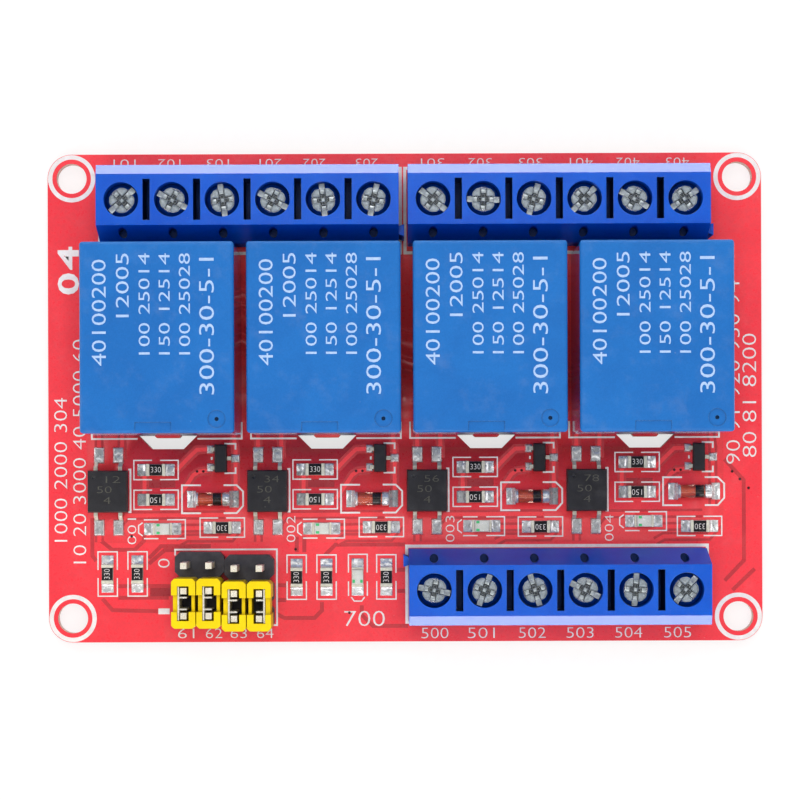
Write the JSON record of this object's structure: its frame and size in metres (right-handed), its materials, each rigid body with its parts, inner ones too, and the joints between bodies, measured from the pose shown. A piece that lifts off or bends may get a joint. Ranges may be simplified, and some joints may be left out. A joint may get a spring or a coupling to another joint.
{
  "type": "relay module board",
  "caption": "Relay module board: sealed relays in a row, screw terminals on both long edges, and jumper headers that set the trigger level.",
  "frame": {"origin": "centre of the mounting-hole pattern, on the underside of the board", "axes": "+X along the board with the input terminals at its far end, +Y towards the load terminals, +Z out of the component side"},
  "size_m": [0.074, 0.0506, 0.0189],
  "materials": {
    "board_laminate": "red lacquered glass-fibre laminate with white marking",
    "terminal_plastic": "blue moulded plastic, satin",
    "cage_metal": "tinned brass",
    "guard_bronze": "spring bronze strip",
    "screw_steel": "bright plated steel",
    "relay_plastic": "blue moulded plastic, fine matt grain",
    "base_plastic": "dark blue moulded plastic under sealing resin",
    "bobbin_plastic": "black moulded plastic",
    "winding_copper": "enamelled copper wire",
    "core_iron": "soft iron",
    "yoke_steel": "nickel plated steel",
    "armature_steel": "nickel plated steel",
    "spring_bronze": "spring bronze with silver contact",
    "contact_copper": "copper strip with silver contact and tinned pin",
    "tinned_pins": "tinned copper",
    "jumper_plastic": "yellow moulded plastic",
    "clip_metal": "tinned spring strip",
    "header_plastic": "black moulded plastic",
    "pin_gold": "thin gold flash over brass",
    "package_plastic": "dark moulding compound, matt",
    "diode_glass": "orange glass with dark band and tinned ends",
    "lamp_resin": "pale resin over a white base with green marks",
    "resistor_ceramic": "ceramic chip with black glaze and tinned ends",
    "lead_tin": "tinned copper lead",
    "solder": "bright solder"
  },
  "bodies": {
    "module": {"circuit_board": "board_laminate", "load_terminal_left": "terminal_plastic", "load_terminal_right": "terminal_plastic", "input_terminal": "terminal_plastic", "terminal_cages": "cage_metal", "wire_guards": "guard_bronze", "relay_cover_1": "relay_plastic", "relay_cover_2": "relay_plastic", "relay_cover_3": "relay_plastic", "relay_cover_4": "relay_plastic", "relay_bases": "base_plastic", "relay_bobbins": "bobbin_plastic", "relay_windings": "winding_copper", "relay_cores": "core_iron", "relay_yokes": "yoke_steel", "relay_contacts": "contact_copper", "relay_pins": "tinned_pins", "pin_headers": "header_plastic", "header_pins": "pin_gold", "optocouplers": "package_plastic", "transistors": "package_plastic", "glass_diodes": "diode_glass", "lamps": "lamp_resin", "resistors": "resistor_ceramic", "component_leads": "lead_tin", "solder_joints": "solder"},
    "screw_01": {"terminal_screw_01": "screw_steel"},
    "screw_02": {"terminal_screw_02": "screw_steel"},
    "screw_03": {"terminal_screw_03": "screw_steel"},
    "screw_04": {"terminal_screw_04": "screw_steel"},
    "screw_05": {"terminal_screw_05": "screw_steel"},
    "screw_06": {"terminal_screw_06": "screw_steel"},
    "screw_07": {"terminal_screw_07": "screw_steel"},
    "screw_08": {"terminal_screw_08": "screw_steel"},
    "screw_09": {"terminal_screw_09": "screw_steel"},
    "screw_10": {"terminal_screw_10": "screw_steel"},
    "screw_11": {"terminal_screw_11": "screw_steel"},
    "screw_12": {"terminal_screw_12": "screw_steel"},
    "screw_13": {"terminal_screw_13": "screw_steel"},
    "screw_14": {"terminal_screw_14": "screw_steel"},
    "screw_15": {"terminal_screw_15": "screw_steel"},
    "screw_16": {"terminal_screw_16": "screw_steel"},
    "screw_17": {"terminal_screw_17": "screw_steel"},
    "screw_18": {"terminal_screw_18": "screw_steel"},
    "armature_1": {"relay_armature_1": "armature_steel", "contact_blade_1": "spring_bronze"},
    "armature_2": {"relay_armature_2": "armature_steel", "contact_blade_2": "spring_bronze"},
    "armature_3": {"relay_armature_3": "armature_steel", "contact_blade_3": "spring_bronze"},
    "armature_4": {"relay_armature_4": "armature_steel", "contact_blade_4": "spring_bronze"},
    "jumper_1": {"jumper_cap_1": "jumper_plastic", "jumper_clip_1": "clip_metal"},
    "jumper_2": {"jumper_cap_2": "jumper_plastic", "jumper_clip_2": "clip_metal"},
    "jumper_3": {"jumper_cap_3": "jumper_plastic", "jumper_clip_3": "clip_metal"},
    "jumper_4": {"jumper_cap_4": "jumper_plastic", "jumper_clip_4": "clip_metal"}
  },
  "joints": [
    {"name": "screw_01_turn", "type": "hinge", "parent": "module", "child": "screw_01", "pos_m": [-0.02855, 0.01972, 0.0106], "axis": [0, 0, 1], "range_deg": [-720, 720]},
    {"name": "screw_02_turn", "type": "hinge", "parent": "module", "child": "screw_02", "pos_m": [-0.02347, 0.01972, 0.0106], "axis": [0, 0, 1], "range_deg": [-720, 720]},
    {"name": "screw_03_turn", "type": "hinge", "parent": "module", "child": "screw_03", "pos_m": [-0.01839, 0.01972, 0.0106], "axis": [0, 0, 1], "range_deg": [-720, 720]},
    {"name": "screw_04_turn", "type": "hinge", "parent": "module", "child": "screw_04", "pos_m": [-0.01331, 0.01972, 0.0106], "axis": [0, 0, 1], "range_deg": [-720, 720]},
    {"name": "screw_05_turn", "type": "hinge", "parent": "module", "child": "screw_05", "pos_m": [-0.00823, 0.01972, 0.0106], "axis": [0, 0, 1], "range_deg": [-720, 720]},
    {"name": "screw_06_turn", "type": "hinge", "parent": "module", "child": "screw_06", "pos_m": [-0.00315, 0.01972, 0.0106], "axis": [0, 0, 1], "range_deg": [-720, 720]},
    {"name": "screw_07_turn", "type": "hinge", "parent": "module", "child": "screw_07", "pos_m": [0.00285, 0.01972, 0.0106], "axis": [0, 0, 1], "range_deg": [-720, 720]},
    {"name": "screw_08_turn", "type": "hinge", "parent": "module", "child": "screw_08", "pos_m": [0.00793, 0.01972, 0.0106], "axis": [0, 0, 1], "range_deg": [-720, 720]},
    {"name": "screw_09_turn", "type": "hinge", "parent": "module", "child": "screw_09", "pos_m": [0.01301, 0.01972, 0.0106], "axis": [0, 0, 1], "range_deg": [-720, 720]},
    {"name": "screw_10_turn", "type": "hinge", "parent": "module", "child": "screw_10", "pos_m": [0.01809, 0.01972, 0.0106], "axis": [0, 0, 1], "range_deg": [-720, 720]},
    {"name": "screw_11_turn", "type": "hinge", "parent": "module", "child": "screw_11", "pos_m": [0.02317, 0.01972, 0.0106], "axis": [0, 0, 1], "range_deg": [-720, 720]},
    {"name": "screw_12_turn", "type": "hinge", "parent": "module", "child": "screw_12", "pos_m": [0.02825, 0.01972, 0.0106], "axis": [0, 0, 1], "range_deg": [-720, 720]},
    {"name": "screw_13_turn", "type": "hinge", "parent": "module", "child": "screw_13", "pos_m": [0.00285, -0.01972, 0.0106], "axis": [0, 0, 1], "range_deg": [-720, 720]},
    {"name": "screw_14_turn", "type": "hinge", "parent": "module", "child": "screw_14", "pos_m": [0.00793, -0.01972, 0.0106], "axis": [0, 0, 1], "range_deg": [-720, 720]},
    {"name": "screw_15_turn", "type": "hinge", "parent": "module", "child": "screw_15", "pos_m": [0.01301, -0.01972, 0.0106], "axis": [0, 0, 1], "range_deg": [-720, 720]},
    {"name": "screw_16_turn", "type": "hinge", "parent": "module", "child": "screw_16", "pos_m": [0.01809, -0.01972, 0.0106], "axis": [0, 0, 1], "range_deg": [-720, 720]},
    {"name": "screw_17_turn", "type": "hinge", "parent": "module", "child": "screw_17", "pos_m": [0.02317, -0.01972, 0.0106], "axis": [0, 0, 1], "range_deg": [-720, 720]},
    {"name": "screw_18_turn", "type": "hinge", "parent": "module", "child": "screw_18", "pos_m": [0.02825, -0.01972, 0.0106], "axis": [0, 0, 1], "range_deg": [-720, 720]},
    {"name": "armature_1_tilt", "type": "hinge", "parent": "module", "child": "armature_1", "pos_m": [-0.0246, -0.00005, 0.01394], "axis": [1, 0, 0], "range_deg": [-2.6, 0], "stiffness_Nm_per_rad": 0.003, "springref_deg": 20.05},
    {"name": "armature_2_tilt", "type": "hinge", "parent": "module", "child": "armature_2", "pos_m": [-0.0081, -0.00005, 0.01394], "axis": [1, 0, 0], "range_deg": [-2.6, 0], "stiffness_Nm_per_rad": 0.003, "springref_deg": 20.05},
    {"name": "armature_3_tilt", "type": "hinge", "parent": "module", "child": "armature_3", "pos_m": [0.0084, -0.00005, 0.01394], "axis": [1, 0, 0], "range_deg": [-2.6, 0], "stiffness_Nm_per_rad": 0.003, "springref_deg": 20.05},
    {"name": "armature_4_tilt", "type": "hinge", "parent": "module", "child": "armature_4", "pos_m": [0.0249, -0.00005, 0.01394], "axis": [1, 0, 0], "range_deg": [-2.6, 0], "stiffness_Nm_per_rad": 0.003, "springref_deg": 20.05},
    {"name": "jumper_1_lift", "type": "slide", "parent": "module", "child": "jumper_1", "axis": [0, 0, 1], "range_m": [0, 0.008]},
    {"name": "jumper_2_lift", "type": "slide", "parent": "module", "child": "jumper_2", "axis": [0, 0, 1], "range_m": [0, 0.008]},
    {"name": "jumper_3_lift", "type": "slide", "parent": "module", "child": "jumper_3", "axis": [0, 0, 1], "range_m": [0, 0.008]},
    {"name": "jumper_4_lift", "type": "slide", "parent": "module", "child": "jumper_4", "axis": [0, 0, 1], "range_m": [0, 0.008]}
  ]
}
